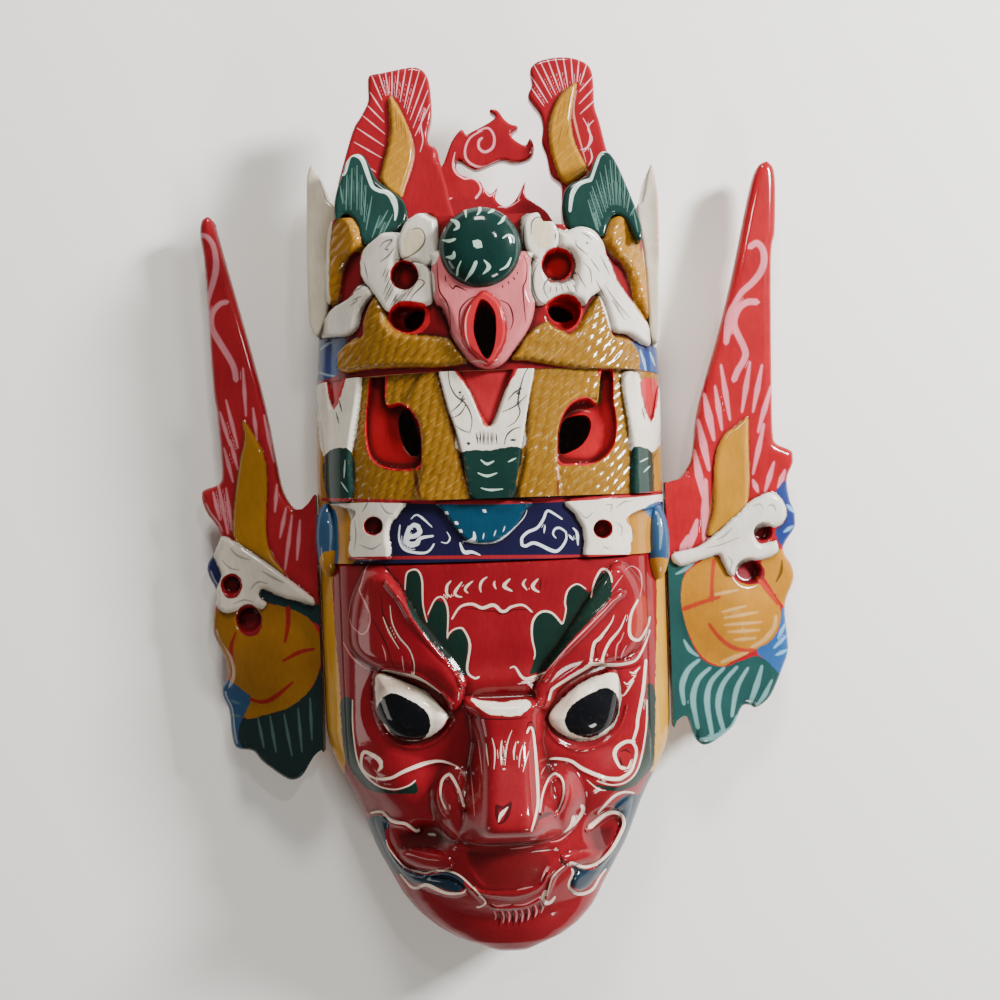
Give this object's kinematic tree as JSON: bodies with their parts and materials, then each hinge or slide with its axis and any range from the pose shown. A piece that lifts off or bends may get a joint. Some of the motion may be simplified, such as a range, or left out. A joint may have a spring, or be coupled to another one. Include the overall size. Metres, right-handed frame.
{
  "type": "garuda mask",
  "caption": "Carved wooden ceremonial mask with a hooked nose, glaring eyes, a tiered scaly crown with a round boss and feathered wings, and a long carved wing at each ear.",
  "frame": {"origin": "centre of the bounding box on the plane of the back rim, which the mask lies on", "axes": "+Z out of the face, +Y from the chin toward the crown's top, +X toward the right of someone looking at the face"},
  "size_m": [0.314, 0.4528, 0.1103],
  "materials": {
    "body_lacquer": "gloss painted and lacquered carved wood",
    "left_ear_lacquer": "gloss painted and lacquered carved wood",
    "right_ear_lacquer": "gloss painted and lacquered carved wood"
  },
  "bodies": {
    "root": {"mask_body": "body_lacquer", "left_ear_wing": "left_ear_lacquer", "right_ear_wing": "right_ear_lacquer"}
  },
  "joints": []
}
